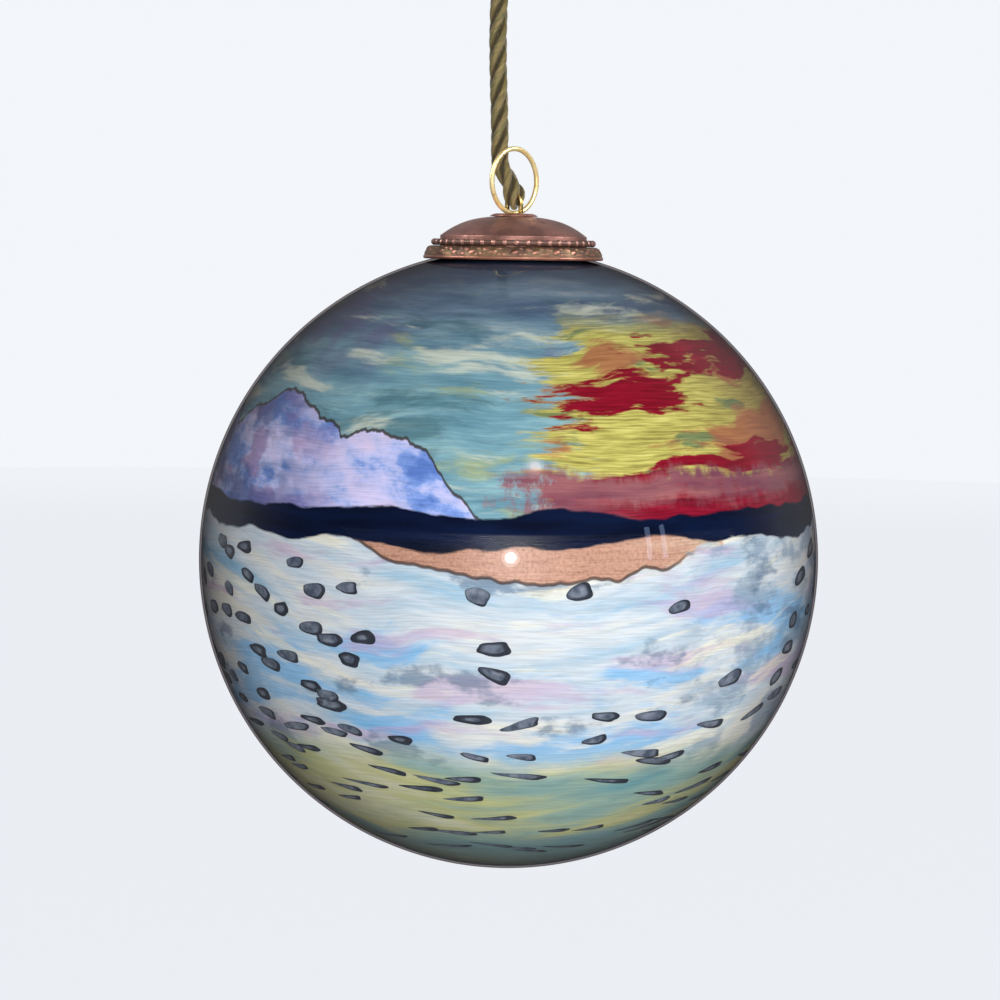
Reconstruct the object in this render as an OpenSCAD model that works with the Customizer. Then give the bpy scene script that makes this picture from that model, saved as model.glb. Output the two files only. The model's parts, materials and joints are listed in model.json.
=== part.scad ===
// Glass ball ornament: a blown glass ball painted on its inside, under a domed
// metal cap with a beaded band. A wire hanger grips the neck and stands out of
// the cap as a small eye, which holds a loose jump ring and a twisted cord loop.
// Frame: +Z up, -Y is the front. The origin is the top of the cord loop's inside,
// where a hook or a twig carries it. Everything hangs below on the Z axis.

/* [Ball] */
// Outside diameter of the glass ball
ball_d = 76; // [70:1:100]
// Thickness of the blown glass
glass_t = 1.2; // [0.8:0.1:1.6]
// Thickness of the paint on the inside of the glass
paint_t = 0.15; // [0.1:0.05:0.3]
// Outside diameter of the neck
neck_d = 13; // [12:0.5:14]

/* [Cap] */
// Diameter across the cap's rolled rim
cap_d = 22; // [21.5:0.1:23]
// Height of the cap from its rim to the top of the dome
cap_h = 5.28; // [4.9:0.01:5.4]
// Diameter of the smooth dome
dome_d = 17.9; // [17.5:0.1:18]
// How far the dome drops from its crown to its edge
dome_drop = 2.47; // [2.2:0.01:2.6]
// How flat the dome's crown is: 2 is a parabola, more is flatter
dome_power = 3; // [2:0.5:4]
// Gap between the cap's rim and the glass
rim_gap = 0.3; // [0.2:0.05:0.6]
// Thickness of the cap's sheet metal
sheet_t = 0.45; // [0.3:0.05:0.5]
// Thickness of the rolled rim
roll_d = 0.46; // [0.4:0.02:0.7]
// Number of beads round the band
bead_count = 45; // [30:1:48]
// Diameter of one bead
bead_d = 0.85; // [0.7:0.05:0.9]

/* [Eyelet] */
// Diameter of the eyelet's flange on top of the dome
eyelet_d = 5.8; // [5.4:0.1:6]
// Height of the eyelet's flange
eyelet_h = 0.3; // [0.25:0.05:0.6]
// Hole through the eyelet
eyelet_bore = 4; // [3.8:0.1:4.2]

/* [Hanger and ring] */
// Wire of the hanger
wire_d = 0.6; // [0.5:0.05:0.65]
// Width inside the hanger's eye
eye_w = 1.7; // [1.65:0.05:1.8]
// Length of the hanger's legs below the eyelet
leg_len = 13.5; // [12:0.5:16]
// Outside diameter of the jump ring
ring_d = 8.4; // [8:0.1:9]
// Wire of the jump ring
ring_wire = 0.6; // [0.5:0.05:0.6]
// How far the ring's foot hangs inside the eyelet's hole
ring_sink = 0.25; // [0:0.05:0.25]
// How far the eye and the ring are turned from facing front
eye_turn = -44; // [-50:1:-40]

/* [Cord] */
// Diameter of the twisted cord
cord_d = 2.15; // [2:0.05:2.15]
// Diameter of the cord where the eye squeezes it
cord_pinch = 1.5; // [1.4:0.05:1.5]
// Length of the loop from the hook down to the hanger's eye
loop_len = 58; // [50:1:100]
// Inside diameter of the loop's round top
loop_w = 6; // [4:0.5:8]
// Width of the knot that closes the loop
knot_d = 6.2; // [5.5:0.1:7]
// Height of the knot
knot_h = 6.5; // [5:0.5:8]
// Length of the two cut ends above the knot
tail_len = 7; // [3:0.5:12]

/* [Hidden] */
$fn = 96;

// Clearance between pieces that move or slip past each other
play = 0.05;

// Stack of the eye, upwards from the ring's foot: ring, cord, hanger wire
crown_h = ring_wire + play + cord_pinch + play + wire_d / 2 - ring_sink;
crown_z = -loop_len;
eyelet_top = crown_z - crown_h;
dome_top = eyelet_top - eyelet_h;
rim_z = dome_top - cap_h;

// Ball, placed so that its surface lies rim_gap under the cap's rim
ball_r = ball_d / 2;
ball_z = rim_z - rim_gap - sqrt(pow(ball_r, 2) - pow(cap_d / 2, 2));
inner_r = ball_r - glass_t;
paint_r = inner_r - 0.02;
neck_r = neck_d / 2;
bore_r = neck_r - glass_t;

// Cap, from the dome's edge outwards and down
dome_r = dome_d / 2;
dome_edge = dome_top - dome_drop;
ferrule_r = neck_r + play;
shank_r = eyelet_bore / 2 + 0.35;
bead_ring_r = dome_r + 0.3 + bead_d / 2;
bead_z = dome_edge - 0.35 - bead_d / 2;
ledge_z = bead_z - bead_d / 2 - 0.015;
ledge_r = bead_ring_r + 0.32;
roll_r = roll_d / 2;
roll_z = rim_z + roll_r;

// The ferrule's flat top fits under the dome at the ferrule's own radius
ferrule_out = ferrule_r + sheet_t;
ferrule_top = dome_z(ferrule_out) - sheet_t - 0.05;
lip_z = ferrule_top - sheet_t - 0.04;

// Height of the dome's outside at radius r
function dome_z(r) = dome_top - dome_drop * pow(r / dome_r, dome_power);

// Height of the ball's outside at radius r
function ball_top(r) = ball_z + sqrt(pow(ball_r, 2) - pow(r, 2));

function ease(u) = u <= 0 ? 0 : u >= 1 ? 1 : u * u * (3 - 2 * u);
function mix(a, b, u) = a + (b - a) * u;

// A wire of round section through a list of points, flat where it starts. The
// balls at its bends are a trace thicker, so that no two surfaces just touch.
module bent_wire(points, d) {
    for (i = [1 : len(points) - 1]) {
        rod(points[i - 1], points[i], d);
        translate(points[i]) sphere(d = d * 1.01);
    }
}

// A round rod from point a to point b
module rod(a, b, d) {
    way = b - a;
    length = norm(way);
    translate(a)
        rotate([0, acos(way.z / length), atan2(way.y, way.x)])
            cylinder(d = d, h = length);
}

// ---------------------------------------------------------------- the ball

module glass_ball() {
    color([0.82, 0.9, 0.93, 0.35])
    difference() {
        union() {
            translate([0, 0, ball_z]) sphere(r = ball_r);
            translate([0, 0, ball_z]) cylinder(r = neck_r, h = lip_z - glass_t / 2 - ball_z);
            translate([0, 0, lip_z - glass_t / 2])
                rotate_extrude() translate([neck_r - glass_t / 2, 0]) circle(d = glass_t);
        }
        translate([0, 0, ball_z]) sphere(r = inner_r);
        translate([0, 0, ball_z]) cylinder(r = bore_r, h = ball_r * 2);
    }
}

// The paint lines the ball up to the foot of the neck
module painted_lining() {
    color([0.45, 0.6, 0.72])
    difference() {
        translate([0, 0, ball_z]) sphere(r = paint_r);
        translate([0, 0, ball_z]) sphere(r = paint_r - paint_t);
        translate([0, 0, ball_z]) cylinder(r = neck_r, h = ball_r);
    }
}

// ----------------------------------------------------------------- the cap

// Smooth dome with a straight wall that drops inside the skirt
module cap_dome() {
    steps = 20;
    hole_r = shank_r + 0.02;
    wall_bottom = ledge_z - 0.45;
    radii = [for (i = [0 : steps]) mix(hole_r, dome_r, i / steps)];
    outside = [for (r = radii) [r, dome_z(r)]];
    inside = [for (i = [steps : -1 : 0])
        [min(radii[i], dome_r - sheet_t), dome_z(radii[i]) - sheet_t]];
    wall = [[dome_r, wall_bottom], [dome_r - sheet_t, wall_bottom]];
    color([0.62, 0.42, 0.38])
        rotate_extrude() polygon(concat(outside, wall, inside));
}

// Band that flares out from under the beads to a rolled rim
module cap_skirt() {
    steps = 12;
    fall = ledge_z - roll_z;
    flare = cap_d / 2 - 0.12 - ledge_r;
    outside = [for (i = [0 : steps]) let (a = 90 * i / steps)
        [ledge_r + flare * sin(a), roll_z + fall * cos(a)]];
    inside = [for (i = [steps : -1 : 0]) let (a = 90 * i / steps)
        [ledge_r - sheet_t + flare * sin(a), roll_z - sheet_t * cos(a) + fall * cos(a)]];
    seat = [[dome_r + 0.02, ledge_z - sheet_t], [dome_r + 0.02, ledge_z]];
    color([0.6, 0.38, 0.24])
    union() {
        rotate_extrude() polygon(concat(outside, inside, seat));
        translate([0, 0, roll_z])
            rotate_extrude() translate([cap_d / 2 - roll_r, 0]) circle(r = roll_r);
    }
}

// Beads on a thin carrier wire, lying in the groove between dome and skirt
module beaded_wire() {
    color([0.66, 0.42, 0.34])
    translate([0, 0, bead_z])
    union() {
        rotate_extrude() translate([bead_ring_r, 0]) circle(d = bead_d * 0.62);
        for (i = [0 : bead_count - 1])
            rotate([0, 0, 360 * i / bead_count])
                translate([bead_ring_r, 0, 0]) sphere(d = bead_d);
    }
}

// Inner cup of the cap, which sits on the neck and centres the cap
module neck_ferrule() {
    foot = ball_top(neck_r) + 0.3;
    color([0.55, 0.44, 0.3])
    translate([0, 0, foot])
    difference() {
        cylinder(r = ferrule_out, h = ferrule_top - foot);
        translate([0, 0, -1]) cylinder(r = ferrule_r, h = ferrule_top - foot - sheet_t + 1);
        cylinder(r = shank_r + 0.02, h = ferrule_top - foot + 1);
    }
}

// Hollow rivet that clinches the dome to the ferrule and lets the hanger through
module eyelet() {
    clinch_z = ferrule_top - sheet_t - 0.01;
    clinch_h = 0.25;
    crown_r = eyelet_h / 2;
    color([0.58, 0.4, 0.36])
    difference() {
        union() {
            translate([0, 0, dome_top]) cylinder(d = eyelet_d - 2 * crown_r, h = eyelet_h);
            translate([0, 0, dome_top + crown_r])
                rotate_extrude() translate([eyelet_d / 2 - crown_r, 0]) circle(r = crown_r);
            translate([0, 0, clinch_z - clinch_h])
                cylinder(r = shank_r, h = dome_top - clinch_z + clinch_h);
            translate([0, 0, clinch_z - clinch_h]) cylinder(r = shank_r + 0.3, h = clinch_h);
        }
        translate([0, 0, clinch_z - 1])
            cylinder(d = eyelet_bore, h = eyelet_top - clinch_z + 2);
    }
}

// ----------------------------------------------------- hanger, ring and cord

// One wire: an eye above the cap and two legs that spring out inside the neck
module wire_hanger() {
    foot_r = bore_r - play - wire_d / 2;
    eye_r = (eye_w + wire_d) / 2;
    waist_z = ferrule_top - sheet_t - 0.8;
    tip_z = eyelet_top - leg_len;
    color([0.72, 0.58, 0.32])
    rotate([0, 0, eye_turn])
    union() {
        translate([0, 0, crown_z - eye_r])
            rotate([90, 0, 0])
                rotate_extrude(angle = 180) translate([eye_r, 0]) circle(d = wire_d);
        for (side = [-1, 1])
            bent_wire([
                [side * eye_r, 0, crown_z - eye_r],
                [side * eye_r, 0, waist_z],
                [side * mix(eye_r, foot_r, 0.75), 0, mix(waist_z, tip_z, 0.3)],
                [side * foot_r, 0, mix(waist_z, tip_z, 0.55)],
                [side * mix(eye_r, foot_r, 0.85), 0, tip_z]
            ], wire_d);
    }
}

// Ring standing in the eye, under the cord
module jump_ring() {
    ring_r = (ring_d - ring_wire) / 2;
    color([0.88, 0.74, 0.42])
    translate([0, 0, eyelet_top - ring_sink + ring_wire / 2 + ring_r])
        rotate([0, 0, eye_turn])
            rotate([0, 90, 0])
                rotate_extrude() translate([ring_r, 0]) circle(d = ring_wire);
}

// The cord runs up from the eye as two legs. Near the eye the legs lie in the
// ring's plane; a little higher they have turned front and back and passed
// behind the ring. h is the height above the crown of the eye.
bight_r = wire_d / 2 + play + cord_pinch / 2;
top_r = loop_w / 2 + cord_d / 2;
leg_top = loop_len - loop_w / 2;
pair_gap = cord_d / 2 + 0.045;
spread_from = 20;

function leg_angle(h) = mix(90 + eye_turn, 90, ease(h / 4));
function leg_gap(h) = h < spread_from
    ? mix(bight_r, pair_gap, ease(h / 3))
    : mix(pair_gap, top_r, ease((h - spread_from) / (leg_top - spread_from)));
function behind_ring(h) = 2.3 * ease(h / 4) * (1 - ease((h - 14) / (leg_top - 14)));
function sideways(h) = -0.6 * ease((h - 4) / 20) * (1 - ease((h - 26) / (leg_top - 26)));
function cord_r(h) = mix(cord_pinch, cord_d, ease(h / 3.5)) / 2;

// Centre of the cord on one leg: side is -1 in front and 1 at the back
function leg_point(side, h) = [
    side * leg_gap(h) * cos(leg_angle(h)) - behind_ring(h) * cos(eye_turn) + sideways(h),
    side * leg_gap(h) * sin(leg_angle(h)) - behind_ring(h) * sin(eye_turn),
    crown_z + h];

function bight_point(a) = [
    bight_r * cos(a) * cos(90 + eye_turn),
    bight_r * cos(a) * sin(90 + eye_turn),
    crown_z - bight_r * sin(a)];

function top_point(a) = [0, top_r * cos(a), crown_z + leg_top + top_r * sin(a)];

// Stations of the closed loop as [centre, radius]: up the back, over, down the front
leg_heights = [for (i = [0.5 : 1 : 12]) i * 0.5,
               for (i = [1 : 12]) 6 + i * (leg_top - 7) / 12];
stations = concat(
    [for (a = [165 : -15 : 0]) [bight_point(a), cord_pinch / 2]],
    [for (h = leg_heights) [leg_point(1, h), cord_r(h)]],
    [for (a = [0 : 15 : 180]) [top_point(a), cord_d / 2]],
    [for (i = [len(leg_heights) - 1 : -1 : 0])
        let (h = leg_heights[i]) [leg_point(-1, h), cord_r(h)]],
    [[bight_point(180), cord_pinch / 2]]
);

// A closed tube round a loop of stations. The loop never runs along X, so X
// squares each section up.
module closed_tube(stations, sides) {
    n = len(stations);
    points = [for (i = [0 : n - 1])
        let (along = stations[(i + 1) % n][0] - stations[(i + n - 1) % n][0],
             across = cross(along, [1, 0, 0]),
             u = across / norm(across),
             v = cross(along, u) / norm(along))
        for (k = [0 : sides - 1])
            stations[i][0] + stations[i][1] * (u * cos(360 * k / sides) + v * sin(360 * k / sides))];
    faces = [for (i = [0 : n - 1], k = [0 : sides - 1])
        let (j = (i + 1) % n, m = (k + 1) % sides)
        for (f = [[i * sides + k, j * sides + m, i * sides + m],
                  [i * sides + k, j * sides + k, j * sides + m]]) f];
    polyhedron(points, faces);
}

// Closed loop of cord, its knot and its two cut ends
module cord_loop() {
    knot_z = cord_d * 0.4;
    tail_z = knot_z + knot_h - 1;
    color([0.45, 0.4, 0.26])
    union() {
        closed_tube(stations, 16);
        translate([0, 0, knot_z + 1]) cylinder(d = knot_d, h = knot_h - 2);
        for (z = [knot_z + 1, knot_z + knot_h - 1])
            translate([0, 0, z])
                rotate_extrude() translate([knot_d / 2 - 1, 0]) circle(r = 1);
        for (z = [knot_z, knot_z + knot_h - 1])
            translate([0, 0, z]) cylinder(d = knot_d - 2, h = 1);
        for (side = [-1, 1])
            rod([0, side * 1.2, tail_z], [side * 0.5, side * 2.4, tail_z + 1 + tail_len], cord_d);
    }
}

glass_ball();
painted_lining();
cap_dome();
cap_skirt();
beaded_wire();
neck_ferrule();
eyelet();
wire_hanger();
jump_ring();
cord_loop();
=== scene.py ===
"""Looks of the glass ball ornament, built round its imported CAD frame.

Everything is in metres in the frame's own axes: +Z up, -Y is the front of the picture.
"""

import json
import math
import random

import bpy
import numpy as np
from mathutils import Matrix, Vector, noise


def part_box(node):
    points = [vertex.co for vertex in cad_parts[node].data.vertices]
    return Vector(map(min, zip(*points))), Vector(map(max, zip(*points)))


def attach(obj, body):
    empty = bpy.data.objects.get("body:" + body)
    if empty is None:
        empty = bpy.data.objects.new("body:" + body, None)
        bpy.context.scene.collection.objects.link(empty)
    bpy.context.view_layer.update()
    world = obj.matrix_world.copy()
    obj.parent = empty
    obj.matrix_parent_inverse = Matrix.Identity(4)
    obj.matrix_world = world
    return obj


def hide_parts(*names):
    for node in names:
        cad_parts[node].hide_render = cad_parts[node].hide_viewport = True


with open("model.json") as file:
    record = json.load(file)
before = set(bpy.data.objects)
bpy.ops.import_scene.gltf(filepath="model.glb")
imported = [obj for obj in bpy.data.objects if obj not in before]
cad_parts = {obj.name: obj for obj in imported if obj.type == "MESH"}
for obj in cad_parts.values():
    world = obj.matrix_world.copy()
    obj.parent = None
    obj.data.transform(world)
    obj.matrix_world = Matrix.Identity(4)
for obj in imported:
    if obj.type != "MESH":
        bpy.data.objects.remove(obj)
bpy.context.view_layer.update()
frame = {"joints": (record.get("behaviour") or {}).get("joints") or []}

MM = 0.001
TURN = 2 * math.pi
UP = Vector((0, 0, 1))


# ---- measures from the frame

def lowest(node):
    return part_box(node)[0].z


def highest(node):
    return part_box(node)[1].z


def half_width(node):
    lo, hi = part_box(node)
    return (hi.x - lo.x) / 2


def middle(node):
    lo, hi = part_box(node)
    return (lo + hi) / 2


def joint_axis(name):
    return next(Vector(joint["axis"]) for joint in frame["joints"] if joint["name"] == name)


BALL_R = half_width("glass_ball")
BALL_C = Vector((0, 0, lowest("glass_ball") + BALL_R))
LIP_TOP = highest("glass_ball")
NECK_R = math.sqrt(half_width("painted_lining") ** 2 - (highest("painted_lining") - BALL_C.z) ** 2)
NECK_WALL = 1.2 * MM

# The glass bends light so that paint on its inside seems to lie right under its surface.
# The drawn glass is therefore thin, with the film of paint close behind it.
GLASS_DRAWN = 0.25 * MM
FILM_R = BALL_R - 0.32 * MM
FILM_T = 0.12 * MM
MARK_R = BALL_R - 0.27 * MM
MARK_T = 0.02 * MM

DOME_R = half_width("cap_dome")
DOME_TOP = highest("cap_dome")
DOME_FOOT = lowest("cap_dome")
SHEET = 0.45 * MM
BEAD_D = 0.85 * MM
BEAD_RING_R = half_width("beaded_wire") - BEAD_D / 2
BEAD_Z = middle("beaded_wire").z
BEAD_COUNT = 45
LEDGE_Z = highest("cap_skirt")
RIM_Z = lowest("cap_skirt")
RIM_R = half_width("cap_skirt")
ROLL_R = 0.23 * MM
EYELET_R = half_width("eyelet")
EYELET_TOP = highest("eyelet")
EYELET_BOTTOM = lowest("eyelet")
EYELET_BORE = 2.0 * MM
EYELET_HOLE = EYELET_BORE + 0.37 * MM

EYE_DIR = joint_axis("hanger_swing")
RING_DIR = joint_axis("ring_fall")
WIRE_R = 0.3 * MM
CROWN_Z = highest("wire_hanger") - WIRE_R
HANGER_FOOT = lowest("wire_hanger")
RING_C = middle("jump_ring")
RING_R = (highest("jump_ring") - lowest("jump_ring")) / 2 - WIRE_R

CORD_D = 2.15 * MM
CORD_PINCH = 1.5 * MM
LOOP_TOP = highest("cord_loop")


# ---- small maths

def ease(u):
    u = min(max(u, 0.0), 1.0)
    return u * u * (3 - 2 * u)


def blend(a, b, u):
    return a + (b - a) * u


def around(count):
    """The angles of this many even steps round a circle."""
    return [TURN * k / count for k in range(count)]


def resample(points, step, closed=False):
    """The polyline's points again at even spacing."""
    path = list(points) + ([points[0]] if closed else [])
    lengths = [0.0]
    for a, b in zip(path, path[1:]):
        lengths.append(lengths[-1] + (b - a).length)
    total = lengths[-1]
    count = max(4, round(total / step))
    wanted = [total * i / count for i in range(count if closed else count + 1)]
    coords = [np.interp(wanted, lengths, [p[k] for p in path]) for k in range(3)]
    return [Vector(c) for c in zip(*coords)]


def round_corners(points):
    """An open polyline with its corners cut again and again into curves."""
    for _ in range(3):
        cut = [points[0]]
        for a, b in zip(points, points[1:]):
            cut += [a.lerp(b, 0.25), a.lerp(b, 0.75)]
        points = cut + [points[-1]]
    return points


def carried_normals(path, closed):
    """Directions along a path, and normals that turn as little as they can and meet where it closes."""
    n = len(path)
    along = []
    for i in range(n):
        before = path[(i - 1) % n] if closed or i > 0 else path[0]
        after = path[(i + 1) % n] if closed or i < n - 1 else path[-1]
        along.append((after - before).normalized())
    first = along[0].orthogonal().normalized()
    normals = [first]
    for a, b in zip(along, along[1:]):
        normals.append((a.rotation_difference(b) @ normals[-1]).normalized())
    if closed:
        back = along[-1].rotation_difference(along[0]) @ normals[-1]
        gap = math.atan2(along[0].dot(back.cross(first)), back.dot(first))
        for i in range(n):
            normals[i] = Matrix.Rotation(gap * i / n, 3, along[i]) @ normals[i]
    return along, normals


# ---- mesh tools

def add(name, data):
    """A new object in the scene."""
    made = bpy.data.objects.new(name, data)
    bpy.context.scene.collection.objects.link(made)
    return made


def add_mesh(name, verts, faces, material):
    mesh = bpy.data.meshes.new(name)
    mesh.from_pydata([tuple(v) for v in verts], [], faces)
    mesh.materials.append(material)
    return add(name, mesh)


def make_piece(name, part, material, body, node=None, attributes=(), sharp=None):
    """A smooth-shaded piece that rides on a body and stands for a CAD node. part is its verts, its
    faces and the values of the named attributes. Edges sharper than sharp degrees are kept as edges."""
    verts, faces, *values = part
    piece = add_mesh(name, verts, faces, material)
    for key, numbers in zip(attributes, values):
        flat = np.array(numbers, np.float32)
        kind, field = ("FLOAT", "value") if flat.ndim == 1 else ("FLOAT_VECTOR", "vector")
        piece.data.attributes.new(key, kind, "POINT").data.foreach_set(field, flat.ravel())
    piece.data.polygons.foreach_set("use_smooth", [True] * len(faces))
    if sharp:
        piece.data.set_sharp_from_angle(angle=math.radians(sharp))
    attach(piece, body)
    if node:
        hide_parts(node)
    return piece


def joined(parts):
    """One part from several. Each is its verts, its faces and any values per vertex."""
    whole = [[] for _ in parts[0]]
    for part in parts:
        base = len(whole[0])
        for i, more in enumerate(part):
            whole[i] += [tuple(v + base for v in face) for face in more] if i == 1 else more
    return whole


def loft(rings, closed=False):
    """A skin over rings of points. A ring of one point is a pole. closed joins last to first."""
    verts, numbers = [], []
    for ring in rings:
        numbers.append(range(len(verts), len(verts) + len(ring)))
        verts += ring
    sides = max(len(ring) for ring in rings)
    faces = []
    for low, high in zip(numbers, numbers[1:] + (numbers[:1] if closed else [])):
        for k in range(sides):
            m = k + 1
            corners = [ring[i % len(ring)] for ring, i in ((low, k), (low, m), (high, m), (high, k))]
            face = tuple(dict.fromkeys(corners))
            if len(face) > 2:
                faces.append(face)
    return verts, faces


def circle(radius, z, count):
    return [Vector((radius * math.cos(a), radius * math.sin(a), z)) for a in around(count)]


def lathe(profile, sides, shape=None):
    """A closed profile of (radius, z) turned round Z. Points on the axis become poles.
    shape(angle, i) may give a (radius, z) of its own for profile point i."""
    rings = []
    for i, (r, z) in enumerate(profile):
        if r < 1e-9:
            rings.append([UP * z])
        elif shape:
            spots = [(a, *shape(a, i)) for a in around(sides)]
            rings.append([Vector((r * math.cos(a), r * math.sin(a), z)) for a, r, z in spots])
        else:
            rings.append(circle(r, z, sides))
    return loft(rings, closed=True)


def tube(path, radii, sides, closed=False, normals=None):
    """A round tube along a path, with flat ends where it is open."""
    along, carried = carried_normals(path, closed)
    rings = []
    for spot, radius, way, normal in zip(path, radii, along, normals or carried):
        side = way.cross(normal)
        rings.append([spot + radius * (math.cos(a) * normal + math.sin(a) * side) for a in around(sides)])
    verts, faces = loft(rings, closed)
    if not closed:
        faces.append(tuple(reversed(range(sides))))
        faces.append(tuple(range(len(verts) - sides, len(verts))))
    return verts, faces


def arc(centre, radius, start, end, steps):
    """Profile points on a circle, in degrees, from start to end."""
    angles = [math.radians(blend(start, end, i / steps)) for i in range(steps + 1)]
    return [(centre[0] + radius * math.cos(a), centre[1] + radius * math.sin(a)) for a in angles]


# ---- material tools

def rgb(red, green, blue):
    """A colour from 0 to 255 as a display shows it, made linear."""
    parts = [c / 255 for c in (red, green, blue)]
    return tuple(c / 12.92 if c <= 0.04045 else ((c + 0.055) / 1.055) ** 2.4 for c in parts) + (1,)


class Number:
    """A number in a node tree, so that patterns can be written as sums."""

    def __init__(self, graph, socket):
        self.graph, self.socket = graph, socket

    def __abs__(self):
        return self.graph.math("ABSOLUTE", self)


def give_operators(name, operation):
    """Lets a Number stand on either side of an arithmetic sign."""
    setattr(Number, f"__{name}__", lambda left, right: left.graph.math(operation, left, right))
    setattr(Number, f"__r{name}__", lambda right, left: right.graph.math(operation, left, right))


for sign in (("add", "ADD"), ("sub", "SUBTRACT"), ("mul", "MULTIPLY"), ("truediv", "DIVIDE")):
    give_operators(*sign)


class Graph:
    """A node tree under construction: a new material's if owner is a name, or the world's."""

    def __init__(self, owner):
        self.owner = bpy.data.materials.new(owner) if isinstance(owner, str) else owner
        self.owner.use_nodes = True
        self.tree = self.owner.node_tree
        self.tree.nodes.clear()

    def node(self, kind, **settings):
        made = self.tree.nodes.new(kind)
        for key, value in settings.items():
            setattr(made, key, value)
        return made

    def feed(self, socket, value):
        if isinstance(value, Number):
            value = value.socket
        if isinstance(value, bpy.types.NodeSocket):
            self.tree.links.new(value, socket)
        else:
            socket.default_value = value

    def fed(self, made, *values, **named):
        """The node's first output, once its inputs are fed in order and by name."""
        for socket, value in zip(made.inputs, values):
            self.feed(socket, value)
        for key, value in named.items():
            self.feed(made.inputs[key.replace("_", " ")], value)
        return made.outputs[0]

    def math(self, operation, *values):
        return Number(self, self.fed(self.node("ShaderNodeMath", operation=operation), *values))

    def vector_math(self, operation, *values):
        return self.fed(self.node("ShaderNodeVectorMath", operation=operation), *values)

    def vector(self, x, y, z):
        return self.fed(self.node("ShaderNodeCombineXYZ"), x, y, z)

    def split(self, vector):
        made = self.node("ShaderNodeSeparateXYZ")
        self.fed(made, vector)
        return [Number(self, socket) for socket in made.outputs]

    def place(self, kind="Object"):
        return self.node("ShaderNodeTexCoord").outputs[kind]

    def attribute(self, name):
        return Number(self, self.node("ShaderNodeAttribute", attribute_name=name).outputs["Fac"])

    def noise(self, vector, scale, detail=3.0, roughness=0.5):
        made = self.node("ShaderNodeTexNoise")
        self.fed(made, Vector=vector, Scale=scale, Detail=detail, Roughness=roughness)
        return Number(self, made.outputs["Fac"])

    def step(self, value, low, high):
        """0 below low and 1 above high, smooth between. low may be above high."""
        if low > high:
            return 1 - self.step(value, high, low)
        made = self.node("ShaderNodeMapRange", interpolation_type="SMOOTHSTEP")
        return Number(self, self.fed(made, Value=value, From_Min=low, From_Max=high))

    def mix(self, share, a, b, kind="MIX"):
        made = self.node("ShaderNodeMix", data_type="RGBA", blend_type=kind)
        for index, value in ((0, share), (6, a), (7, b)):
            self.feed(made.inputs[index], value)
        return made.outputs[2]

    def ramp(self, value, *stops):
        """A colour ramp. Each stop is its position, red, green and blue."""
        made = self.node("ShaderNodeValToRGB")
        elements = made.color_ramp.elements
        for i, (position, *colour) in enumerate(stops):
            element = elements[i] if i < 2 else elements.new(position)
            element.position = position
            element.color = rgb(*colour)
        return self.fed(made, value)

    def bump(self, height, strength, distance):
        return self.fed(self.node("ShaderNodeBump"), Height=height, Strength=strength, Distance=distance)

    def either(self, share, no, yes):
        """Two shaders mixed: no where share is 0, yes where it is 1."""
        return self.fed(self.node("ShaderNodeMixShader"), share, no, yes)

    def finish(self, shader, output="ShaderNodeOutputMaterial"):
        """Ends the tree in this shader."""
        self.feed(self.node(output).inputs["Surface"], shader)
        return self.owner

    def surface(self, **inputs):
        """Ends the material in a Principled shader with these inputs."""
        return self.finish(self.fed(self.node("ShaderNodeBsdfPrincipled"), **inputs))


# ---- the painted landscape

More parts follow.
